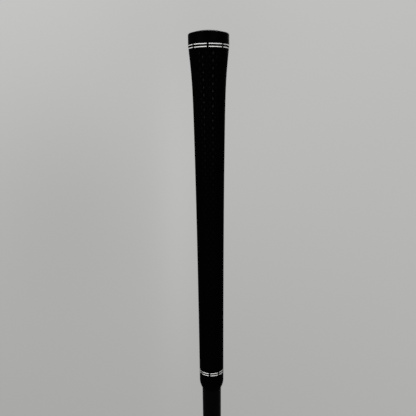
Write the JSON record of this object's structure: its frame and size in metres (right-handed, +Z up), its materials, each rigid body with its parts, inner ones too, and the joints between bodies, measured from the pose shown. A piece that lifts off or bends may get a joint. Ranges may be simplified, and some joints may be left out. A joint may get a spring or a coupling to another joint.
{
  "type": "fairway wood",
  "caption": "Right-handed fairway wood with a round rubber grip, a tapered shaft and a hollow head bolted to a loft sleeve.",
  "frame": {"origin": "on the shaft axis, 100 mm below the top of the grip, between the two hands that hold it", "axes": "+Z up the shaft axis to the top of the grip; the face looks along -Y; the toe points to -X and down, the heel to +X"},
  "size_m": [0.0937, 0.0876, 1.1264],
  "materials": {
    "grip_rubber": "matte, moulded with fine cross marks",
    "cap_rubber": "smooth matte",
    "band_paint": "painted in moulded grooves",
    "grip_tape": "double-sided tape",
    "shaft_black": "lacquered graphite composite",
    "tip_brass": "turned",
    "stopper_cork": "cork",
    "ferrule_plastic": "polished",
    "sleeve_black": "black anodised",
    "insert_steel": "tapped",
    "body_steel": "dark satin plated",
    "face_steel": "milled and brushed",
    "crown_black": "lacquered carbon composite",
    "socket_steel": "broached",
    "fastener_steel": "turned and plated",
    "keeper_plastic": "nylon",
    "weight_steel": "turned",
    "gasket_rubber": "matte"
  },
  "bodies": {
    "club": {"grip_sleeve": "grip_rubber", "grip_end_cap": "cap_rubber", "grip_tape": "grip_tape", "butt_band_paint": "band_paint", "mouth_band_paint": "band_paint", "shaft": "shaft_black", "tip_weight": "tip_brass", "tip_stopper": "stopper_cork", "ferrule": "ferrule_plastic", "loft_sleeve": "sleeve_black", "thread_insert": "insert_steel"},
    "head": {"head_body": "body_steel", "face_cup": "face_steel", "crown": "crown_black", "mass_pad": "body_steel", "spline_socket": "socket_steel", "bolt_washer": "fastener_steel"},
    "bolt": {"hosel_bolt": "fastener_steel", "bolt_keeper": "keeper_plastic"},
    "weight": {"rear_weight": "weight_steel", "weight_gasket": "gasket_rubber"},
    "screw": {"weight_screw": "fastener_steel"}
  },
  "joints": [
    {"name": "head_release", "type": "slide", "parent": "club", "child": "head", "axis": [-0.0175, 0, -0.9998], "range_m": [0, 0.0086]},
    {"name": "bolt_turn", "type": "hinge", "parent": "head", "child": "bolt", "pos_m": [-0.00094, 0, -0.98399], "axis": [-0.0175, 0, -0.9998], "range_deg": [0, 3880]},
    {"name": "weight_release", "type": "slide", "parent": "head", "child": "weight", "axis": [0.5209, 0.1836, -0.8336], "range_m": [0, 0.005]},
    {"name": "weight_screw_turn", "type": "hinge", "parent": "weight", "child": "screw", "pos_m": [-0.02796, 0.04695, -1.0056], "axis": [0.5209, 0.1836, -0.8336], "range_deg": [0, 2260]}
  ],
  "couplings": [
    {"joint": "bolt_turn", "follows": "head_release", "rad_per_m": 7854},
    {"joint": "weight_screw_turn", "follows": "weight_release", "rad_per_m": 7854}
  ]
}
